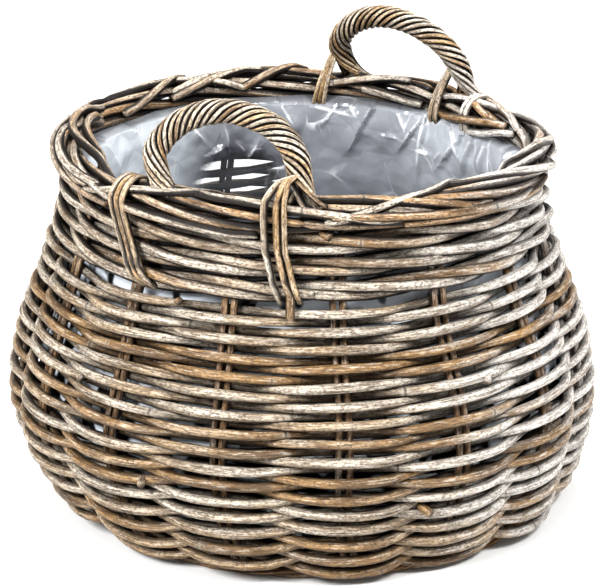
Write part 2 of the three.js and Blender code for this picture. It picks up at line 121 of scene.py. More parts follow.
# Base
BASE_LEVEL = 10.5
BASE_RADIUS = 190
BASE_HUB = 30
BASE_CANE_DIAMETER = 5.6
SPOKE_START = 34
SPOKE_END = STAKE_ROOT + 22
SPOKE_DIAMETER = 4.4
STICKS = 4
STICK_DIAMETER = 6
STICK_LENGTH = 296
FOOT_RING_RADIUS = FOOT.x - 3
FOOT_RING_LEVEL = 3.8
FOOT_RING_ROPE_RADIUS = 1.7
FOOT_RING_DIAMETER = 3.9
FOOT_RING_TWISTS = 12

# Liner
FILM_THICKNESS = 0.6
FILM_CLEARANCE = 1.5
FILM_FLOOR = 17
FILM_FLOOR_RINGS = (0, 40, 80, 120, 150, 170, 182)
FILM_STEPS = 570
SMOOTH_ROWS = 22
CREASED_ROWS = 50
CREASED_FROM = 0.66
CREASE_ANGLE = math.radians(12)
TUCKED_IN = ((181.5, 288), (185.5, 290), (191, 291.5), (196, 292))
CLEAR_PART = (-0.062, 0.196, 0.216)
CLEAR_ANGLE = 197.6

# Canes behind the clear part of the film are a little thinner and flatter, and let light through
LOOSE_SPREAD = 26
LOOSE_FROM = 135
LOOSE_TO = 236
LESS_SWING = 0.16
LESS_OUT = 0.14
LESS_UP = 0.22

# How uneven the hand work is
WALL_BULGE = 2.6
ROW_SETTLING = 1.8
STAKE_SWAY = 0.9
WEAVER_SWAY = 0.8
WEAVER_RISE = 0.9
BORDER_SWAY = 1.2
BORDER_RISE = 1.4
HANDLE_SWAY = 0.5
SETTLED = Vector((10, -11, 0))
SETTLED_HEIGHT = 70
SUNK_DEPTH = 9
SUNK_ANGLE = 119
SUNK_SPREAD = 42
SUNK_FROM = 190

# Camera, worked out from the photograph's perspective
CAMERA_DISTANCE = 2400
CAMERA_ELEVATION = 19.52
CAMERA_AIM_LEVEL = 167.9
CAMERA_SIDE = -2.57
CAMERA_LENS = 168.4


# Places and lines

def around(angle, radius, level):
    """A point round the basket."""
    turn = math.radians(angle)
    return Vector((radius * math.sin(turn), -radius * math.cos(turn), level))


def angle_of(place):
    """The angle round the basket where a place lies, from -180 to 180."""
    return math.degrees(math.atan2(place.x, -place.y))


def turned(angle, start):
    """How far an angle is turned from another one, from -180 to 180."""
    return (angle - start + 180) % 360 - 180


def out_of_rope(angle, turn):
    """The way out of a rope laid round the basket: a turn of 0 is outwards, and 90 is up."""
    turn = math.radians(turn)
    return around(angle, math.cos(turn), math.sin(turn))


def uneven(angle, level, grain, seed):
    """A smooth random number from about -1 to 1, for a place on the wall."""
    turn = math.radians(angle)
    place = Vector((math.cos(turn), math.sin(turn), 0)) * grain
    return 1.6 * noise.noise(place + Vector((seed, seed, level / 60)))


def wander(along, seed, grain=1.0):
    """A smooth random number from about -1 to 1, for a place along a cane."""
    return 1.6 * noise.noise(Vector((along * grain, seed, 0.5)))


def smooth(share):
    """0 below 0, 1 above 1, and smooth between."""
    share = min(max(share, 0.0), 1.0)
    return share * share * (3 - 2 * share)


def settled(place):
    """Moves a place as the basket has settled, with its foot to one side and its border down."""
    beside = smooth(1 - abs(angle_of(place) - SUNK_ANGLE) / SUNK_SPREAD)
    sunk = SUNK_DEPTH * beside * smooth((place.z - SUNK_FROM) / 70)
    return place + SETTLED * smooth(1 - place.z / SETTLED_HEIGHT) - Vector((0, 0, sunk))


def runs_along(line):
    """How far along a line each of its points lies."""
    runs = [0.0]
    for start, end in zip(line, line[1:]):
        runs.append(runs[-1] + (end - start).length)
    return runs


def way_along(line, i):
    """The way that a line runs at one of its points."""
    return (line[min(i + 1, len(line) - 1)] - line[max(i - 1, 0)]).normalized()


def curve_through(points, steps):
    """A smooth line through a few points."""
    line = []
    last = len(points) - 1
    for i in range(last):
        before, after = points[max(i - 1, 0)], points[min(i + 2, last)]
        start, end = points[i], points[i + 1]
        leave = start + (end - before) / 6
        arrive = end - (after - start) / 6
        line += geometry.interpolate_bezier(start, leave, arrive, end, steps + 1)[:-1]
    return line + [points[-1]]


# The wall

wall_line = [
    *geometry.interpolate_bezier(FOOT, FOOT + FOOT_FLARE, BELLY + BELLY_FULLNESS_BELOW, BELLY, 40),
    *geometry.interpolate_bezier(BELLY, BELLY + BELLY_FULLNESS_ABOVE, NECK + NECK_FLARE, NECK, 40)[1:],
    Vector((NECK.x, RIM_LEVEL)),
]
wall_reach = runs_along(wall_line)
wall_length = wall_reach[-1]
wale_height = 2 * WALE_ROUNDS * WALE_ROW_HEIGHT
wale_foot = wall_length - ROW_CLEARANCE - wale_height
weave_start = WEAVER_DIAMETER / 2
weave_end = wale_foot - ROW_CLEARANCE - WEAVER_DIAMETER / 2
stakes_passed = STAKE_PAIRS * (weave_end - weave_start) / ROW_PITCH
swing_middle = (SWING_OUT - SWING_IN) / 2
swing = (SWING_OUT + SWING_IN) / 2


def wall_at(distance):
    """The radius and level of the stakes at a distance up the wall, and the way that the wall runs."""
    piece = min(max(bisect_right(wall_reach, distance) - 1, 0), len(wall_line) - 2)
    share = (distance - wall_reach[piece]) / (wall_reach[piece + 1] - wall_reach[piece])
    lower, upper = wall_line[piece], wall_line[piece + 1]
    return lower + (upper - lower) * share, (upper - lower).normalized()


def wall_point(angle, distance, offset=0.0):
    """A point at a distance up the bulging wall, moved outwards of the stakes by an offset."""
    point, along = wall_at(distance)
    bulge = WALL_BULGE * uneven(angle, distance, 1.7, 3) * smooth(4 * (1 - distance / wall_length))
    reach = offset + bulge
    return around(angle, point.x + reach * along.y, point.y - reach * along.x)


def wall_outward(angle, distance):
    """The way out of the wall at a distance up it."""
    along = wall_at(distance)[1]
    return around(angle, along.y, -along.x)


def stake_angle(passed):
    """The angle round the basket where so many pairs of stakes are passed."""
    return FIRST_STAKE_ANGLE + passed * 360 / STAKE_PAIRS


# Pieces made of canes

# Cut ends of canes that stand out of a piece: angle, level and diameter
CUT_ENDS = {
    "wale_3_1": ((5.4, 277, 7.8),),
    "woven_cane_12": ((2, 238, 5), (-26.8, 226, 6)),
    "woven_cane_03": ((24, 65, 7.4), (-31, 84, 7)),
    "woven_cane_07": ((38, 158, 7), (-48, 150, 6)),
}
CUT_END_REACH = 14


def skin_reach(along, across):
    """How far the uneven skin of a cane reaches, as a share of its even size."""
    ridge = noise.noise(Vector((0.02 * along, 1.6 * across.x, 1.6 * across.y)))
    dent = noise.noise(Vector((0.09 * along, 0.8 * across.x, 0.8 * across.y + 7)))
    return 1 + 0.13 * ridge + 0.08 * dent


class CaneWork:
    """A piece made of canes. Each cane is a flat strip rolled up along its line and closed at its ends.

    grain holds a place in the straightened cane: along it, outwards and upwards from its middle.
    growth counts the nodes where leaves grew, tone tells one cane from the next, upward is 1 on top
    of a cane and -1 under it, and behind is 1 where a cane passes inside of the stakes."""

    def __init__(self, seed):
        self.mesh = bmesh.new()
        layers = self.mesh.verts.layers
        self.grain = layers.float_vector.new("grain")
        self.growth = layers.float.new("growth")
        self.tone = layers.float.new("tone")
        self.upward = layers.float.new("upward")
        self.behind = layers.float.new("behind")
        self.random = random.Random(seed)

    def grown_nodes(self, length):
        """Where the nodes of a cane lie along it, from before its start to after its end."""
        nodes = [-self.random.uniform(0, INTERNODE)]
        while nodes[-1] < length:
            nodes.append(nodes[-1] + INTERNODE * self.random.uniform(0.7, 1.3))
        return nodes

    def lay(self, line, outward, half_out, half_up, sides=12, tips=(0.7, 0.7), behind=None):
        """Lays one cane along a line.

        For each point of the line, outward is the way to the cane's outer side, half_out is half its
        size that way, half_up is half its size across that, and behind is 1 inside of the stakes.
        tips are the sizes of the cane's first and last point, as shares of its own."""
        runs = runs_along(line)
        start = self.random.uniform(0, 8000)
        tone = self.random.random()
        nodes = self.grown_nodes(runs[-1])
        last = len(line) - 1
        strip = bmesh.ops.create_grid(self.mesh, x_segments=sides, y_segments=last, size=1)["verts"]
        for i, (middle, run) in enumerate(zip(line, runs)):
            along = way_along(line, i)
            up = outward[i].cross(along).normalized()
            out = along.cross(up).normalized()
            passed = bisect_right(nodes, run) - 1
            length = nodes[passed + 1] - nodes[passed]
            beyond = run - nodes[passed]
            from_node = min(beyond, length - beyond)
            size = 1 + NODE_SWELLING * math.exp(-((from_node / NODE_REACH) ** 2))
            size *= {0: tips[0], last: tips[1]}.get(i, 1.0)
            radius = (half_out[i] + half_up[i]) / 2
            for side in range(sides + 1):
                turn = 2 * math.pi * (side % sides) / sides
                across = Vector((math.cos(turn), math.sin(turn)))
                reach = size * skin_reach(run + start, across)
                vertex = strip[i * (sides + 1) + side]
                place = middle + out * (across.x * half_out[i] * reach)
                vertex.co = settled(place + up * (across.y * half_up[i] * reach)) * MM
                vertex[self.grain] = Vector((start + run, radius * across.x, radius * across.y)) * MM
                vertex[self.growth] = passed + beyond / length
                vertex[self.tone] = tone
                vertex[self.upward] = out.z * across.x + up.z * across.y
                vertex[self.behind] = behind[i] if behind else 0.0
        bmesh.ops.remove_doubles(self.mesh, verts=strip, dist=1e-7)

    def round_cane(self, line, outward, diameter, **settings):
        """Lays one cane of an even round section."""
        half = [diameter / 2] * len(line)
        self.lay(line, outward, half, half, **settings)

    def cut_end(self, angle, level, diameter):
        """Lays the cut end of a cane, which stands out of the wall."""
        distance = wall_reach[bisect_right([point.y for point in wall_line], level)]
        line = []
        for back in (4, 3, 2, 1, 0.5, 0):
            line.append(wall_point(angle - 0.3 * back, distance, CUT_END_REACH - 3 * back))
        outward = [wall_outward(angle, distance)] * len(line)
        self.round_cane(line, outward, diameter, tips=(0.7, 0.94))

    def piece(self, name, nodes, slot, material):
        """Closes the ends, and makes the canes a finished piece that stands for CAD nodes."""
        for angle, level, diameter in CUT_ENDS.get(name, ()):
            self.cut_end(angle, level, diameter)
        ends = [edge for edge in self.mesh.edges if edge.is_boundary]
        bmesh.ops.holes_fill(self.mesh, edges=ends, sides=0)
        bmesh.ops.recalc_face_normals(self.mesh, faces=self.mesh.faces)
        return place_piece(self.mesh, name, nodes, material)


def scene_object(name, data):
    """An object in the scene."""
    made = bpy.data.objects.new(name, data)
    bpy.context.scene.collection.objects.link(made)
    return made


def place_piece(mesh, name, nodes, material):
    """Makes a mesh a smooth piece of the basket that stands for CAD nodes."""
    data = bpy.data.meshes.new(name)
    for face in mesh.faces:
        face.smooth = True
    mesh.to_mesh(data)
    mesh.free()
    data.materials.append(material)
    piece = scene_object(name, data)
    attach(piece, "root")
    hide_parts(*nodes)
    return piece


# Finishes

class Wire:
    """An output of a material's node. Arithmetic on it adds Math nodes."""

    def __init__(self, finish, socket):
        self.finish = finish
        self.socket = socket

    def maths(self, operation, *values):
        inputs = dict(enumerate(values))
        return self.finish.node("ShaderNodeMath", {"operation": operation}, inputs)

    def __add__(self, other):
        return self.maths("ADD", self, other)

    def __radd__(self, other):
        return self.maths("ADD", other, self)

    def __sub__(self, other):
        return self.maths("SUBTRACT", self, other)

    def __rsub__(self, other):
        return self.maths("SUBTRACT", other, self)

    def __mul__(self, other):
        return self.maths("MULTIPLY", self, other)

    def __rmul__(self, other):
        return self.maths("MULTIPLY", other, self)

    def __abs__(self):
        return self.maths("ABSOLUTE", self)

    def __mod__(self, other):
        return self.maths("FLOORED_MODULO", self, other)


class Finish:
    """A material under way."""

    def __init__(self, name):
        self.material = bpy.data.materials.new(name)
        self.material.use_nodes = True
        self.tree = self.material.node_tree
        self.tree.nodes.clear()

    def node(self, kind, settings=None, inputs=None, output=0):
        """Adds a node: its type, its settings, the values or wires of its sockets, and what it gives."""
        made = self.tree.nodes.new(kind)
        for key, value in (settings or {}).items():
            setattr(made, key, value)
        for key, value in (inputs or {}).items():
            if isinstance(value, Wire):
                self.tree.links.new(value.socket, made.inputs[key])
            else:
                made.inputs[key].default_value = value
        return Wire(self, made.outputs[output]) if made.outputs else None

    def attribute(self, name, output="Fac"):
        return self.node("ShaderNodeAttribute", {"attribute_name": name}, output=output)

    def place(self):
        return self.node("ShaderNodeTexCoord", output="Object")

    def part(self, vector, axis):
        return self.node("ShaderNodeSeparateXYZ", None, {0: vector}, axis)

    def vector_maths(self, operation, *values, output=0):
        inputs = dict(enumerate(values))
        return self.node("ShaderNodeVectorMath", {"operation": operation}, inputs, output)

    def noise(self, vector, scale, shift=0.0, detail=3.0, roughness=0.6, distortion=0.0):
        """Noise with its own scale along each axis, which shift moves to another stretch of it."""
        spot = self.vector_maths("MULTIPLY_ADD", vector, scale, (shift, shift, shift))
        inputs = {"Vector": spot, "Scale": 1, "Detail": detail}
        inputs |= {"Roughness": roughness, "Distortion": distortion}
        return self.node("ShaderNodeTexNoise", None, inputs)

    def cells(self, vector, scale, feature="F1"):
        """Distance in a cell pattern: from its middle, or with DISTANCE_TO_EDGE from its edge."""
        inputs = {"Vector": self.vector_maths("MULTIPLY", vector, scale), "Scale": 1}
        return self.node("ShaderNodeTexVoronoi", {"feature": feature}, inputs, "Distance")

    def rise(self, value, low, high):
        """0 below low, 1 above high, and smooth between."""
        inputs = {"Value": value, "From Min": low, "From Max": high}
        return self.node("ShaderNodeMapRange", {"interpolation_type": "SMOOTHSTEP"}, inputs)

    def mix(self, share, first, second):
        inputs = {0: share, 6: first, 7: second}
        return self.node("ShaderNodeMix", {"data_type": "RGBA"}, inputs, output=2)

    def bump(self, height, strength, distance):
        inputs = {"Strength": strength, "Distance": distance, "Height": height}
        return self.node("ShaderNodeBump", None, inputs)

    def surface(self, **inputs):
        """Ends the material with a Principled shader."""
        named = {key.replace("_", " "): value for key, value in inputs.items()}
        shader = self.node("ShaderNodeBsdfPrincipled", None, named)
        self.node("ShaderNodeOutputMaterial", None, {"Surface": shader})
        return self.material


def colour(red, green, blue):
    """A colour from 0 to 255 as light."""
    return tuple(((c / 255 + 0.055) / 1.055) ** 2.4 for c in (red, green, blue)) + (1.0,)


UMBER = colour(24, 17, 12)
BLEACHED = colour(212, 206, 194)
# Paler bleached colour for the east side: partly weathering, partly painted light
LIT_BLEACHED = colour(238, 237, 234)


def rattan(name, diameter, skin, dark, warm, bleach=0.0, warmth=0.0, flecks=0.6, gloss=0.5, crevice_shade=0.35):
    """Weathered rattan: fibres, flecks, nodes, warm, bleached and old dark stretches, painted light and
    shade.

    diameter is the nominal one of its canes. bleach and warmth move their stretches, from about -0.2
    for fewer to 0.2 for more. The last argument sets how dark the painted shade gets where canes touch."""
    finish = Finish(name)
    half = diameter / 2 * MM
    grain = finish.attribute("grain", "Vector")
    tone = finish.attribute("tone")
    growth = finish.attribute("growth")
    behind = finish.attribute("behind")
    east = finish.part(finish.place(), "X")
    height = finish.part(grain, "Z")
    outer = finish.rise(finish.part(grain, "Y"), -0.7 * half, 0.6 * half)
    upper = finish.rise(finish.attribute("upward"), -0.9, 0.6)
    edge = finish.rise(abs(height), (0.84 - 0.35 * crevice_shade) * half, (1.05 - 0.2 * crevice_shade) * half)
    stretch = finish.noise(grain, (6, 30, 30))
    heat = finish.noise(grain, (7, 30, 30), 31)
    age = finish.noise(grain, (8, 30, 30), 53)
    blotch = finish.noise(grain, (55, 200, 200), 7)
    fibre = finish.noise(grain, (20, 440, 440), 3)
    thread = finish.noise(grain, (80, 820, 820), 11)
    speckle = finish.noise(grain, (330, 660, 660), 17, 2)
    pores = finish.cells(grain, (330, 640, 640))

    # Long stretches: warm, old and dark, or bleached. The east side and the tops of the canes get more
    # and paler bleach, partly weathering and partly painted light
    bleached_lit_east = finish.rise(east, 0.05, 0.19)
    bleach_and_light_bias = bleached_lit_east * 0.17 + upper * 0.06
    exposed = stretch + (tone - 0.5) * 0.36 + (blotch - 0.5) * 0.3 + bleach_and_light_bias + bleach
    weather = finish.rise(exposed, 0.46, 0.7)
    heated = finish.rise(heat + (0.5 - tone) * 0.36 + (blotch - 0.5) * 0.15 + warmth, 0.48, 0.62)
    aged = finish.rise(age + (blotch - 0.5) * 0.26, 0.51, 0.61)
    pale = finish.mix(bleached_lit_east, BLEACHED, LIT_BLEACHED)
    base = finish.mix(heated, skin, warm)
    base = finish.mix(aged * (1 - weather) * 0.62, base, dark)
    base = finish.mix(weather * 0.75, base, pale)

    # Fibres and flecks, with fewer dark ones on the east side as painted light, and pale threads on top
    # of the canes as a painted highlight
    streaks = 0.62 - bleached_lit_east * 0.18
    base = finish.mix((1 - finish.rise(fibre, 0.38, 0.58)) * streaks, base, dark)
    base = finish.mix((1 - finish.rise(thread, 0.38, 0.5)) * streaks, base, dark)
    base = finish.mix(finish.rise(thread, 0.53, 0.64) * upper * 0.5, base, pale)
    base = finish.mix((1 - finish.rise(speckle, 0.41, 0.51)) * streaks, base, dark)

    # Nodes, cracks and pits
    cracked = 1 - finish.rise(fibre, 0.27, 0.34)
    pitted = (1 - finish.rise(pores, 0.16, 0.34)) * finish.rise(blotch, 0.44, 0.54) * flecks
    from_node = 0.5 - abs(growth % 1.0 - 0.5)
    old = finish.rise(heat, 0.48, 0.6)
    ring = (1 - finish.rise(from_node, 0.002, 0.006)) * old
    collar = (1 - finish.rise(from_node, 0.006, 0.024)) * old * 0.25
    scarred = (1 - finish.rise(from_node, 0.012, 0.06)) * old * finish.rise(speckle, 0.47, 0.56) * flecks
    base = finish.mix(collar, base, BLEACHED)
    base = finish.mix(scarred * 0.8, base, dark)
    base = finish.mix(cracked * 0.8 + ring * 0.6, base, UMBER)
    base = finish.mix(pitted, base, UMBER)

    # Painted shade, partly grime: darker on the inner side, underneath, where canes touch and behind the
    # stakes, a little less on the east side
    shaded = (1 - outer) * 0.55 + (1 - upper) * 0.45 + edge * crevice_shade + behind * 0.45
    base = finish.mix(shaded * (1 - bleached_lit_east * 0.25), base, UMBER)
    relief = fibre * 0.9 + thread * 0.5 + speckle * 0.4 - pitted * 0.6 - ring * 0.8 - cracked * 0.4
    return finish.surface(
        Base_Color=base,
        Roughness=0.7 - gloss * 0.35 + weather * 0.15 - fibre * 0.1,
        Specular_IOR_Level=0.35,
        Normal=finish.bump(relief, 0.9, 0.0012),
    )


stake_cane = rattan(
    "stake_cane", STAKE_DIAMETER,
    skin=colour(156, 124, 92), dark=colour(62, 46, 32), warm=colour(146, 112, 74),
    bleach=-0.2,
)
weaving_cane = rattan(
    "weaving_cane", 8.0,
    skin=colour(174, 152, 123), dark=colour(80, 62, 45), warm=colour(156, 124, 83),
    bleach=-0.02,
)
wale_cane = rattan(
    "wale_cane", WALE_DIAMETER,
    skin=colour(174, 154, 129), dark=colour(80, 62, 45), warm=colour(158, 124, 82),
    bleach=0.02, warmth=-0.02, crevice_shade=0.9,
)
border_cane = rattan(
    "border_cane", BORDER_CANE_DIAMETER,
    skin=colour(186, 164, 138), dark=colour(80, 62, 46), warm=colour(168, 134, 94),
    flecks=0.8, gloss=0.7, crevice_shade=0.95,
)
handle_cane = rattan(
    "handle_cane", HANDLE_STRAND_DIAMETER,
    skin=colour(230, 207, 174), dark=colour(86, 66, 47), warm=colour(202, 168, 124),
    bleach=0.03, warmth=-0.04, flecks=0.7, crevice_shade=1.0,
)
lashing_cane = rattan(
    "lashing_cane", LASHING_DIAMETER,
    skin=colour(208, 185, 155), dark=colour(84, 66, 48), warm=colour(180, 147, 104),
    bleach=-0.06, warmth=-0.02, flecks=0.8, gloss=0.6, crevice_shade=0.65,
)
base_cane = rattan(
    "base_cane", BASE_CANE_DIAMETER,
    skin=colour(158, 132, 102), dark=colour(80, 60, 42), warm=colour(156, 116, 72),
    bleach=-0.1,
)


def film():
    """Clear plastic film: pale haze inside, and painted dark outside as the shade of the wall where it
    lies.
    """
    finish = Finish("liner_film")
    place = finish.place()
    east = finish.part(place, "X")
    level = finish.part(place, "Z")
    inside = finish.attribute("inside")
    fold = finish.attribute("fold")
    haze = finish.noise(place, (11, 11, 9), 5)
    glints = finish.noise(place, (42, 42, 36), 8, 1)
    fading = finish.noise(place, (22, 22, 22), 4, 2)
    crumple = finish.noise(place, (30, 30, 22), 2, 3, 0.5, 0.4)
    facets = finish.cells(place, (17, 17, 12), "DISTANCE_TO_EDGE")
    small = finish.cells(place, (46, 46, 34), "DISTANCE_TO_EDGE")
    west = 1 - finish.rise(east, -0.13, -0.075)
    high = finish.rise(level, 0.19, 0.26)

    # Haze, with painted light: paler on both sides, where the film faces the lamps, and paler towards
    # the middles of facets up high
    milky = finish.mix(finish.rise(haze, 0.36, 0.62), colour(112, 114, 119), colour(142, 145, 151))
    milky = finish.mix(finish.rise(east, 0.06, 0.14) * 0.6, milky, colour(196, 200, 206))
    milky = finish.mix(west * 0.92, milky, colour(240, 246, 252))
    milky = finish.mix(finish.rise(facets, 0.0, 0.5) * 0.3 * high, milky, colour(214, 218, 224))

    # Painted glints on folds and creases, and painted shade under the border and low down
    folded_glint = finish.rise(fold, 0.25, 1.2) * finish.rise(fading, 0.36, 0.56)
    crease_glint = (1 - finish.rise(facets, 0.006, 0.02)) * finish.rise(fading, 0.46, 0.62)
    crease_glint = crease_glint * (0.4 + high * 0.6)
    crushed_glint = (1 - finish.rise(small, 0.012, 0.04)) * finish.rise(fading, 0.52, 0.64) * high
    milky = finish.mix(crease_glint * 0.6 + crushed_glint * 0.4 + folded_glint, milky, colour(250, 252, 255))
    milky = finish.mix(finish.rise(level, 0.284, 0.289) * 0.7, milky, colour(96, 97, 100))
    milky = finish.mix((1 - finish.rise(level, 0.1, 0.2)) * 0.4, milky, colour(90, 91, 95))

    # Outside, seen between the canes: painted dark as the shade of the wall, with painted glints, more
    # of them higher up
    lit = finish.rise(glints + level * 1.1, 0.63, 0.71)
    shaded = finish.mix(lit, colour(24, 24, 26), colour(226, 232, 240))

    # The clear part
    window = finish.vector_maths("DISTANCE", place, CLEAR_PART, output="Value")
    clear = 1 - finish.rise(window, 0.034, 0.056)
    relief = crumple * 0.15 + facets * 1.6 + small * high * 0.9
    return finish.surface(
        Base_Color=finish.mix(inside, shaded, milky),
        Roughness=0.2,
        Alpha=1 - clear + inside * (clear * 0.4 - 0.06),
        Coat_Weight=0.3,
        Normal=finish.bump(relief, 0.55, 0.006),
    )


liner_film = film()


# Stakes

def stake_pair(number):
    angle = stake_angle(number)
    work = CaneWork(100 + number)
    sideways = around(angle + 90, 1, 0)
    steps = 48
    for side in (-1, 1):
        line = [around(angle, STAKE_ROOT + (FOOT.x - STAKE_ROOT) * i / 5, FOOT.y) for i in range(5)]
        outward = [Vector((0, 0, -1))] * len(line)
        for step in range(steps + 1):
            distance = wall_length * step / steps
            line.append(wall_point(angle, distance))
            outward.append(wall_outward(angle, distance))
        for i, point in enumerate(line):
            spread = side * STAKE_SPACING / 2 + STAKE_SWAY * wander(i / 12, 10 * number + side)
            line[i] = point + sideways * spread
        work.round_cane(line, outward, STAKE_DIAMETER * work.random.uniform(0.92, 1.08), sides=10)
    node = f"stake_pair_{number + 1:02d}"
    work.piece(f"stake_canes_{number + 1:02d}", [node], "stake_cane", stake_cane)


for number in range(STAKE_PAIRS):
    stake_pair(number)


# Weaving canes: in front of one pair of stakes, behind the next

def weaver_end(cane):
    """The stakes passed before a cane, always an even number, so that it starts behind a pair."""
    return 2 * math.floor(cane * stakes_passed / WEAVER_COUNT / 2 + 0.5)


def loosened(angle, level):
    """How much thinner and flatter the canes lie behind the clear part of the film: 0 to 1."""
    beside = smooth(1.8 * (1 - abs(turned(angle, CLEAR_ANGLE)) / LOOSE_SPREAD))
    return beside * smooth((level - LOOSE_FROM) / 20) * smooth((LOOSE_TO - level) / 10)


def weaving(number):
    work = CaneWork(200 + number)
    first, last = weaver_end(number), weaver_end(number + 1)
    line, outward, half_out, half_up, behind = [], [], [], [], []
    for step in range((last - first) * STEPS_PER_STAKE + 1):
        passed = first + step / STEPS_PER_STAKE
        angle = stake_angle(passed)
        distance = weave_start + passed * ROW_PITCH / STAKE_PAIRS
        inwards = math.cos(math.pi * passed)
        loose = loosened(angle, wall_at(distance)[0].y)
        offset = swing_middle - swing * (1 - LESS_SWING * loose) * inwards * (1.22 - 0.22 * inwards**2)
        offset += WEAVER_SWAY * wander(passed, number, 0.6)
        rise = ROW_SETTLING * uneven(angle, distance, 2.6, 11)
        rise += WEAVER_RISE * wander(passed, number + 20, 0.5)
        line.append(wall_point(angle, distance + rise, offset))
        outward.append(wall_outward(angle, distance))
        thick = 1 + 0.07 * wander(passed, number + 40, 0.12) + 0.04 * wander(passed, number + 60, 0.8)
        half = WEAVER_DIAMETER / 2 * thick
        half_out.append(half * (1 - LESS_OUT * loose))
        half_up.append(half * (0.84 + 0.18 * abs(inwards)) * (1 - LESS_UP * loose))
        behind.append(smooth(0.25 + 0.9 * inwards))
    work.lay(line, outward, half_out, half_up, sides=14, behind=behind)
    node = f"weaver_{number + 1:02d}"
    work.piece(f"woven_cane_{number + 1:02d}", [node], "weaving_cane", weaving_cane)


for number in range(WEAVER_COUNT):
    weaving(number)


# Wale: rounds of three canes, each over two pairs of stakes and then behind one

def waling(layer, number):
    work = CaneWork(300 + WALE_CANES * layer + number)
    first = (WALE_CANES - number) % WALE_CANES
    middle = wale_foot + 2 * WALE_ROW_HEIGHT * (layer + 0.5)
    line, outward, half_out, half_up, behind = [], [], [], [], []
    for step in range(STAKE_PAIRS * STEPS_PER_STAKE + 1):
        passed = first + step / STEPS_PER_STAKE
        angle = stake_angle(passed)
        turn = 2 * math.pi * (passed + number) / WALE_CANES
        offset = swing_middle - swing * math.cos(turn) + 0.6 * math.cos(2 * turn)
        rise = 0.5 * WALE_ROW_HEIGHT * math.sin(turn) * (1 + 0.12 * math.cos(turn))
        rise += 0.6 * ROW_SETTLING * uneven(angle, middle, 2.6, 17)
        line.append(wall_point(angle, middle + rise, offset))
        outward.append(wall_outward(angle, middle + rise))
        thick = 1 + 0.08 * wander(passed, 3 * layer + number, 0.4)
        half_out.append(WALE_HALF_OUT * thick)
        half_up.append(WALE_HALF_UP * thick)
        behind.append(smooth(0.1 + 0.9 * math.cos(turn)))
    work.lay(line, outward, half_out, half_up, sides=14, behind=behind)
    node = f"wale_round_{layer + 1}_cane_{number + 1}"
    work.piece(f"wale_{layer + 1}_{number + 1}", [node], "wale_cane", wale_cane)


for layer in range(WALE_ROUNDS):
    for number in range(WALE_CANES):
        waling(layer, number)


# Border: thick canes laid up as a rope, and stake ends that are turned down over it

def turned_down(work, number):
    """One stake end, over the border: from its inside to its outside, or the other way about."""
    start = stake_angle(number) + work.random.uniform(-7, 7)
    span = work.random.uniform(38, 62)
    inner = work.random.uniform(135, 175)
    outer = work.random.uniform(-50, -5)
    first, last = (inner, outer) if number % 3 else (outer, inner)
    steps = 40
    line, outward, half = [], [], []
    for step in range(steps + 1):
        share = step / steps
        angle = start + span * share
        turn = first + (last - first) * share + 5 * wander(share, number + 80, 1.8)
        tucked = TUCKED_UNDER * (1 - smooth(8 * share)) + TUCKED_UNDER * (1 - smooth(7 * (1 - share)))
        looped = LOOPED_UP * smooth(-math.cos(math.radians(turn))) + 0.7 * math.cos(5 * math.pi * share)
        reach = TURNED_DOWN_REACH - tucked + looped
        away = out_of_rope(angle, turn)
        line.append(around(angle, BORDER_RADIUS, BORDER_LEVEL) + away * reach)
        outward.append(away)
        half.append(TURNED_DOWN_DIAMETER / 2 * (1 + 0.1 * wander(share, number + 90, 2)))
    work.lay(line, outward, half, half, sides=14, tips=(0.8, 0.9))


# Cane ends laid over the border: first and last angle round the basket, first, middle and
# last turn from the border's outside over its top, and how far they stand off it
LAID_OVER = (
    (-114, -56, 120, 62, 176, 7), (-110, -62, 150, 95, 190, 11), (-102, -48, 66, 24, -24, 1),
    (-96, -52, 100, 40, 30, 3), (238, 212, 178, 150, 72, 3), (219, 191, 172, 130, 78, 3),
    (197, 179, 168, 120, 60, 3), (150, 175, 112, 140, 166, 2), (145, 163, 192, 184, 172, 3),
    (110, 140, 150, 176, 196, 6), (104, 128, 164, 190, 204, 9), (22, 74, -22, -30, -44, 2),
    (6, 62, 20, 0, -36, 3), (-46, -10, -4, -20, -60, 2), (-44, -4, 96, 124, 150, 2),
)


def laid_over(work, first, last, turns, stand_off):
    """One cane end over the border, with both its tips held down."""
    start, middle, end = turns
    steps = 36
    line, outward = [], []
    for step in range(steps + 1):
        share = step / steps
        angle = first + (last - first) * share
        turn = (1 - share) ** 2 * start + 2 * share * (1 - share) * middle + share**2 * end
        reach = TURNED_DOWN_REACH + stand_off * smooth(5 * share) * smooth(5 * (1 - share))
        away = out_of_rope(angle, turn)
        line.append(around(angle, BORDER_RADIUS, BORDER_LEVEL) + away * reach)
        outward.append(away)
    size = TURNED_DOWN_DIAMETER * work.random.uniform(0.9, 1.08)
    work.round_cane(line, outward, size, tips=(0.94, 0.94))


def bordering(number):
    work = CaneWork(400 + number)
    start = 360 * number / BORDER_CANES
    steps = 240
    line, outward, half = [], [], []
    for step in range(steps + 1):
        angle = start + 360 * step / steps
        turn = start - BORDER_TWISTS * angle + 16 * uneven(angle, 70 * number, 1.6, 41)
        reach = BORDER_ROPE_RADIUS + BORDER_SWAY * uneven(angle, 40 * number, 2.2, 23)
        level = BORDER_LEVEL + BORDER_RISE * uneven(angle, 0, 1.4, 29)
        away = out_of_rope(angle, turn)
        line.append(around(angle, BORDER_RADIUS, level) + away * reach)
        outward.append(away)
        half.append(BORDER_CANE_DIAMETER / 2 * (1 + 0.12 * uneven(angle, 50 * number, 1.2, 37)))
    work.lay(line, outward, half, half, sides=14)
    for turned_stake in range(number, STAKE_PAIRS, BORDER_CANES):
        turned_down(work, turned_stake)
    for first, last, *turns, stand_off in LAID_OVER[number::BORDER_CANES]:
        laid_over(work, first, last, turns, stand_off)
    work.piece(f"border_rope_{number + 1}", [f"border_cane_{number + 1}"], "border_cane", border_cane)


for number in range(BORDER_CANES):
    bordering(number)


# Handles: thin canes twisted round a core, which fan out to one side over the border

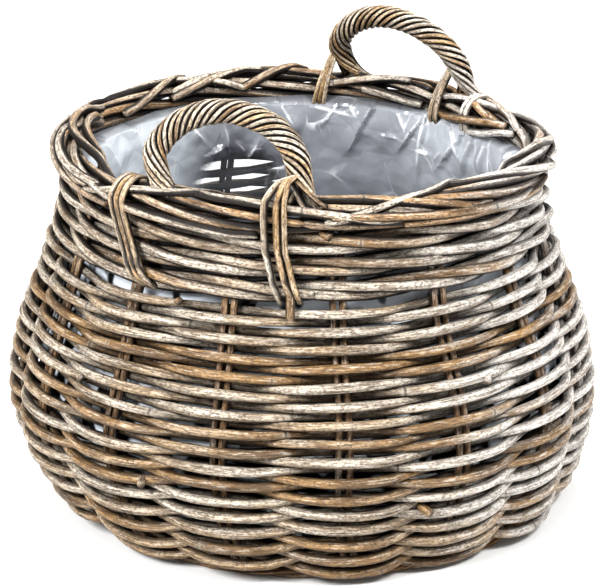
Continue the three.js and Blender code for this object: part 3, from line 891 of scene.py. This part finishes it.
def bow_line(angle, steps):
    """The middle of a handle, from its left foot to its right foot, and the way that it faces."""
    outward = around(angle, 1, 0)
    sideways = around(angle + 90, 1, 0)
    lean = Vector((0, 0, 1)) - outward * HANDLE_LEAN
    chord = math.sqrt(BORDER_RADIUS**2 - (HANDLE_SPAN / 2) ** 2)
    foot = outward * chord + Vector((0, 0, HANDLE_FOOT_LEVEL))
    start = -math.acos(HANDLE_SPAN / HANDLE_WIDTH)
    centre = -HANDLE_RISE * math.sin(start) / (1 - math.sin(start))
    line = []
    for step in range(steps + 1):
        turn = start + (math.pi - 2 * start) * step / steps
        across = -HANDLE_WIDTH / 2 * math.cos(turn)
        line.append(foot + sideways * across + lean * (centre + (HANDLE_RISE - centre) * math.sin(turn)))
    return line, sideways.cross(lean).normalized()


def handle(place, angle, splay, seed):
    """splay is 1 where the feet fan out to the right, seen from outside the basket, or -1."""
    work = CaneWork(seed)
    middle, face = bow_line(angle, 100)
    runs = runs_along(middle)
    aside = around(angle + 90, splay, 0)
    for strand in range(HANDLE_STRANDS):
        fan = strand / (HANDLE_STRANDS - 1)
        line, outward = [], []
        for i, (centre, run) in enumerate(zip(middle, runs)):
            up = way_along(middle, i).cross(face).normalized()
            turn = 2 * math.pi * (run / HANDLE_LAY + strand / HANDLE_STRANDS)
            away = face * math.cos(turn) - up * math.sin(turn)
            wound = centre + away * (HANDLE_ROPE_RADIUS + HANDLE_SWAY * wander(run / 20, strand + seed))
            foot = middle[0] if i < (len(middle) - 1) / 2 else middle[-1]
            drop = Vector((0, 0, 1 - 7 * fan))
            end = foot + aside * (HANDLE_SPLAY - 15 * fan) + drop + face * (6 * fan - 3)
            fanned = smooth(1 - min(run, runs[-1] - run) / SPLAY_REACH) ** 1.5
            line.append(wound.lerp(end, fanned))
            outward.append(away)
        size = HANDLE_STRAND_DIAMETER * work.random.uniform(0.86, 1.1)
        work.round_cane(line, outward, size, sides=10)
    work.round_cane(middle, [face] * len(middle), HANDLE_CORE_DIAMETER, sides=10, tips=(1, 1))
    nodes = [f"handle_rope_{place}", f"handle_core_{place}"]
    work.piece(f"{place}_handle", nodes, "handle_cane", handle_cane)


handle("front", FRONT_HANDLE_ANGLE, 1, 501)
handle("back", BACK_HANDLE_ANGLE, -1, 502)


# Lashings: thin canes over the border, down the wale, and in again under it

def over_border(angle):
    """From inside the border over its top."""
    points = [around(angle, BORDER_RADIUS - 15, BORDER_LEVEL - 16)]
    for turn in range(180, -1, -30):
        away = out_of_rope(angle, turn)
        points.append(around(angle, BORDER_RADIUS, BORDER_LEVEL) + away * LASHING_REACH)
    return points


def along_leg(leg, angle, places):
    """Points from a handle's leg round to an angle.

    Each place has its height over the handle's foot, its distance outwards of the border's middle,
    and its share of the way round."""
    points = []
    for height, reach, share in places:
        at = leg + (angle - leg) * share
        points.append(around(at, BORDER_RADIUS + reach, HANDLE_FOOT_LEVEL + height))
    return points


def down_leg(angle):
    """From behind the front handle's right leg round to its face, and down it."""
    leg = FRONT_HANDLE_ANGLE + HANDLE_LEG
    behind = around(leg + 1, BORDER_RADIUS + 2, HANDLE_FOOT_LEVEL + 22)
    return [behind] + along_leg(leg, angle, ((19, 9, 0.45), (11, 13, 0.8), (0, 13, 1.0)))


def off_leg(angle):
    """From a leg of the back handle down inside of the border, and out under it."""
    leg = BACK_HANDLE_ANGLE + math.copysign(HANDLE_LEG, angle - BACK_HANDLE_ANGLE)
    points = along_leg(leg, angle, ((36, -2, 0), (22, -9, 0.35), (0, -17, 0.75), (-21.4, -18, 1.0)))
    points.append(around(angle, BORDER_RADIUS - 8, BORDER_LEVEL - 17))
    points.append(around(angle, BORDER_RADIUS + 10, BORDER_LEVEL - 17))
    return points


def lashing(place, side, *bands):
    """Each band has its angle, what gives its points above the wale, how far aside of the angle each
    of its canes lies, how many degrees they drift on their way down, and their diameter."""
    work = CaneWork(520 + len(place) + len(side))
    for angle, start, shifts, drift, diameter in bands:
        centre = around(angle, BORDER_RADIUS, BORDER_LEVEL - 8)
        for shift in shifts:
            at = angle + math.degrees(shift / BORDER_RADIUS)
            points = start(at)
            for share in (0.12, 0.35, 0.6, 0.85, 1.0):
                inwards = 3 * share + 14 * smooth(6 * (share - 0.85))
                distance = wall_length - share * wale_height
                points.append(wall_point(at + drift * share**1.6, distance, LASHING_FACE - inwards))
            line = curve_through(points, 5)
            outward = [(point - centre).normalized() for point in line]
            work.round_cane(line, outward, diameter * work.random.uniform(0.9, 1.1), sides=10)
    if (place, side) == CORE_COMES_OUT:
        line = []
        for below in range(42, 71, 4):
            line.append(wall_point(CORE_END_ANGLE, wall_length - below, CORE_END_OFFSET))
        outward = [around(CORE_END_ANGLE, 1, 0)] * len(line)
        work.round_cane(line, outward, CORE_END_DIAMETER, tips=(0.9, 0.9))
    work.piece(f"{place}_lashing_{side}", [f"lashing_{place}_{side}"], "lashing_cane", lashing_cane)


lashing(
    "front", "left",
    (FRONT_HANDLE_ANGLE - LASHING_BESIDE_FOOT, over_border, (-6.0, -0.4, 5.2), 7, LASHING_DIAMETER),
)
lashing(
    "front", "right",
    (FRONT_HANDLE_ANGLE + 13.7, down_leg, (-8.5, 0.2, 5.8), 3.4, LASHING_DIAMETER),
)
lashing(
    "back", "left",
    (BACK_HANDLE_ANGLE - LASHING_BESIDE_FOOT, over_border, (-2, 3.5), 6, LASHING_DIAMETER),
    (BACK_HANDLE_ANGLE - 11.5, off_leg, (-4, 2), 2, 6),
)
lashing(
    "back", "right",
    (BACK_HANDLE_ANGLE + LASHING_BESIDE_FOOT, off_leg, (-4.6, 0, 4.6), -4, 4),
)


# Liner

# Folds of the film, in degrees round the basket and levels: where each starts and ends, and its height
FOLDS = (
    (159.8, 286, 167.8, 237, 9), (143.6, 284, 153.4, 241, 9), (129.2, 280, 141.1, 233, 8),
    (142.8, 280, 148, 208, 5), (170, 286, 176, 262, 6), (176, 284, 158, 272, 5),
    (166, 286, 161, 258, 6), (215, 277, 206.7, 247, 7), (206.7, 247, 202.4, 252, 6),
    (202.4, 252, 204.3, 281, 7), (199.2, 252, 195.7, 239, 6), (195.7, 239, 192.2, 257, 6),
    (145.4, 255, 138.7, 254, 5), (138.7, 254, 134.4, 268, 5), (132, 284, 127, 252, 7),
    (124, 282, 130, 240, 7), (117, 284, 121, 246, 7), (151, 284, 147, 262, 6),
    (154, 262, 147, 262, 4), (186, 284, 181, 258, 6), (236, 284, 228, 235, 7),
    (252, 284, 240, 240, 7), (262, 284, 268, 230, 7), (20, 284, 12, 225, 7),
    (50, 284, 60, 230, 7), (85, 284, 78, 235, 7), (102, 284, 108, 240, 7),
    (300, 284, 306, 230, 7), (330, 284, 322, 235, 7),
)
FOLD_NEARBY = 14
FOLD_STANDS = 0.7
FOLD_STEEP = 4.2
FOLD_GENTLE = 13.0
RIDGE_SNAP = 1.15
RIDGE_WIDTH = 3


def folded(angle, level):
    """How far a fold stands in from the film, how near its ridge a place is, and the way to the ridge.

    A fold has a steep and a gentle side, and gets lower towards its end. The way is 0 except for the
    places nearest the ridge, which are moved onto it."""
    highest, nearest, shift = 0.0, 0.0, Vector((0, 0))
    for first, top, last, bottom, height in FOLDS:
        from_first, from_last = turned(first, angle), turned(last, angle)
        if min(abs(from_first), abs(from_last)) < FOLD_NEARBY:
            start = Vector((math.radians(from_first) * NECK.x, top - level))
            end = Vector((math.radians(from_last) * NECK.x, bottom - level))
            run = end - start
            share = min(max(-start.dot(run) / run.length_squared, 0), 1)
            way = start + run * share
            if way.length < RIDGE_SNAP:
                shift = way
                way = Vector((0, 0))
            width = FOLD_STEEP if run.x * way.y - run.y * way.x > 0 else FOLD_GENTLE
            taper = min(1, 1.6 * (1 - share))
            highest = max(highest, FOLD_STANDS * height * taper * max(0, 1 - way.length / width))
            nearest = max(nearest, taper * max(0, 1 - way.length / RIDGE_WIDTH))
    return highest, nearest, shift


def slack(place):
    """How far the film stands in from the wall, in millimetres."""
    loose = smooth((place.z - 60) / 120)
    pinned = smooth((place.z - 262) / (RIM_LEVEL - 262))
    crumpled = 5 * noise.voronoi(place * 0.019)[0][0] + 2 * noise.voronoi(place * 0.05)[0][0]
    return crumpled * (0.25 + 0.75 * loose) * (1 - 0.8 * pinned)


def film_outline():
    """The film's line, from the middle of its floor up inside of the wall and in under the border."""
    clear = SWING_IN + WEAVER_DIAMETER / 2 + FILM_CLEARANCE
    low = wall_length * CREASED_FROM
    high = wall_length - 2 - low
    distances = [low * step / SMOOTH_ROWS for step in range(1, SMOOTH_ROWS)]
    distances += [low + high * step / CREASED_ROWS for step in range(CREASED_ROWS + 1)]
    outline = [Vector((radius, FILM_FLOOR)) for radius in FILM_FLOOR_RINGS]
    for distance in distances:
        point, along = wall_at(distance)
        outline.append(Vector((point.x - clear * along.y, point.y + clear * along.x)))
    return outline + [Vector(point) for point in TUCKED_IN]


def spun_film(mesh):
    """Spins the film's outline into a bowl."""
    points = [mesh.verts.new(Vector((0, -spot.x, spot.y)) * MM) for spot in film_outline()]
    edges = [mesh.edges.new(pair) for pair in zip(points, points[1:])]
    bmesh.ops.spin(
        mesh, geom=points + edges, cent=(0, 0, 0), axis=(0, 0, 1), angle=2 * math.pi,
        steps=FILM_STEPS, use_merge=True)
    bmesh.ops.remove_doubles(mesh, verts=mesh.verts, dist=1e-7)


def creased_film(mesh, fold):
    """Crumples and folds the bowl's wall, and turns its faces to the inside of the basket."""
    for vertex in mesh.verts:
        place = vertex.co / MM
        radius = math.hypot(place.x, place.y)
        if radius > 1 and place.z > FILM_FLOOR + 4:
            angle = angle_of(place) % 360
            standing, vertex[fold], shift = folded(angle, place.z)
            turn = math.degrees(shift.x / NECK.x)
            place = around(angle + turn, radius - slack(place) - standing, place.z + shift.y)
        vertex.co = settled(place) * MM
    bmesh.ops.recalc_face_normals(mesh, faces=mesh.faces)
    floor = min(mesh.faces, key=lambda face: face.calc_center_median().length)
    if floor.normal.z < 0:
        bmesh.ops.reverse_faces(mesh, faces=mesh.faces)
    for edge in mesh.edges:
        edge.smooth = edge.calc_face_angle(0) < CREASE_ANGLE


def liner():
    """The film liner. inside is 1 on its inner skin and 0 on its outer one, and fold is 1 on a ridge."""
    mesh = bmesh.new()
    inside = mesh.verts.layers.float.new("inside")
    fold = mesh.verts.layers.float.new("fold")
    spun_film(mesh)
    creased_film(mesh, fold)
    inner_skin = set(mesh.verts)
    skin = mesh.faces[:] + mesh.edges[:] + mesh.verts[:]
    bmesh.ops.solidify(mesh, geom=skin, thickness=FILM_THICKNESS * MM)
    for vertex in mesh.verts:
        vertex[inside] = 1 if vertex in inner_skin else 0
    piece = place_piece(mesh, "film_liner", ["liner"], liner_film)


liner()


# Base: spokes from a cross of sticks, woven round with two canes, on a ring of three

def base_sticks(name, node, angle, level, seed):
    work = CaneWork(seed)
    along = around(angle + 90, 1, 0)
    across = around(angle, 1, 0)
    steps = 30
    for stick in range(STICKS):
        middle = across * ((stick - (STICKS - 1) / 2) * STICK_DIAMETER) + Vector((0, 0, level))
        line = [middle + along * (STICK_LENGTH * (i / steps - 0.5)) for i in range(steps + 1)]
        work.round_cane(line, [Vector((0, 0, 1))] * len(line), STICK_DIAMETER * 0.95, sides=8)
    work.piece(name, [node], "base_cane", base_cane)


def base_weaving():
    work = CaneWork(610)
    down = Vector((0, 0, -1))
    spokes = 2 * STAKE_PAIRS
    for spoke in range(spokes):
        angle = FIRST_STAKE_ANGLE + (spoke + 0.5) * 360 / spokes
        line = []
        for i in range(9):
            line.append(around(angle, SPOKE_START + (SPOKE_END - SPOKE_START) * i / 8, BASE_LEVEL))
        work.round_cane(line, [down] * len(line), SPOKE_DIAMETER, sides=6)
    rounds = (BASE_RADIUS - BASE_HUB) / BASE_CANE_DIAMETER
    for cane in (0, 1):
        line = []
        for step in range(int(rounds * spokes * 2)):
            angle = FIRST_STAKE_ANGLE + step * 180 / spokes
            radius = BASE_HUB + BASE_CANE_DIAMETER * step / (2 * spokes)
            level = BASE_LEVEL + 2.6 * math.cos(math.pi * (step / 2 + cane + 0.5))
            line.append(around(angle, radius, level))
        work.round_cane(line, [down] * len(line), BASE_CANE_DIAMETER * 0.96, sides=6)
    work.piece("woven_base", ["base_mat"], "base_cane", base_cane)


def foot_ring():
    work = CaneWork(620)
    steps = 300
    for start in (0, 120, 240):
        line, outward = [], []
        for step in range(steps + 1):
            angle = 360 * step / steps + start
            away = out_of_rope(angle, FOOT_RING_TWISTS * angle + start)
            line.append(around(angle, FOOT_RING_RADIUS, FOOT_RING_LEVEL) + away * FOOT_RING_ROPE_RADIUS)
            outward.append(away)
        work.round_cane(line, outward, FOOT_RING_DIAMETER, sides=8)
    work.piece("foot_ring", ["foot_wale"], "base_cane", base_cane)


base_weaving()
base_sticks("base_sticks_lower", "base_stick_lower", 0, BASE_LEVEL - 0.2, 601)
base_sticks("base_sticks_upper", "base_stick_upper", 90, BASE_LEVEL + 2.6, 602)
foot_ring()


# Studio

def pale_floor():
    mesh = bmesh.new()
    bmesh.ops.create_grid(mesh, x_segments=1, y_segments=1, size=30)
    data = bpy.data.meshes.new("floor")
    mesh.to_mesh(data)
    mesh.free()
    data.materials.append(Finish("pale_floor").surface(Base_Color=colour(251, 251, 250), Roughness=0.7))
    scene_object("floor", data)


def soft_light():
    world = bpy.data.worlds.new("studio")
    bpy.context.scene.world = world
    world.use_nodes = True
    background = world.node_tree.nodes["Background"]
    background.inputs["Color"].default_value = (1, 1, 1, 1)
    background.inputs["Strength"].default_value = 0.5
    lights = (
        ("key", (1.2, -1.3, 2.0), 0.6, 48),
        ("fill", (-1.8, -1.7, 1.8), 0.9, 98),
        ("top", (0.1, 0.5, 2.4), 1.0, 36),
    )
    for name, place, size, power in lights:
        light = bpy.data.lights.new(name, "AREA")
        light.size = size
        light.energy = power
        lamp = scene_object(name, light)
        lamp.location = place
        lamp.rotation_euler = (Vector((0, 0, 0.2)) - lamp.location).to_track_quat("-Z", "Y").to_euler()


def camera():
    data = bpy.data.cameras.new("camera")
    data.lens = CAMERA_LENS
    data.clip_end = 100
    made = scene_object("camera", data)
    rise = math.radians(CAMERA_ELEVATION)
    back = Vector((0, -math.cos(rise), math.sin(rise)))
    aim = Vector((CAMERA_SIDE, 0, CAMERA_AIM_LEVEL)) * MM
    made.location = aim + back * CAMERA_DISTANCE * MM
    made.rotation_euler = (-back).to_track_quat("-Z", "Y").to_euler()
    bpy.context.scene.camera = made


bpy.context.scene.view_settings.view_transform = "Standard"
bpy.context.scene.view_settings.look = "Medium High Contrast"
pale_floor()
soft_light()
camera()
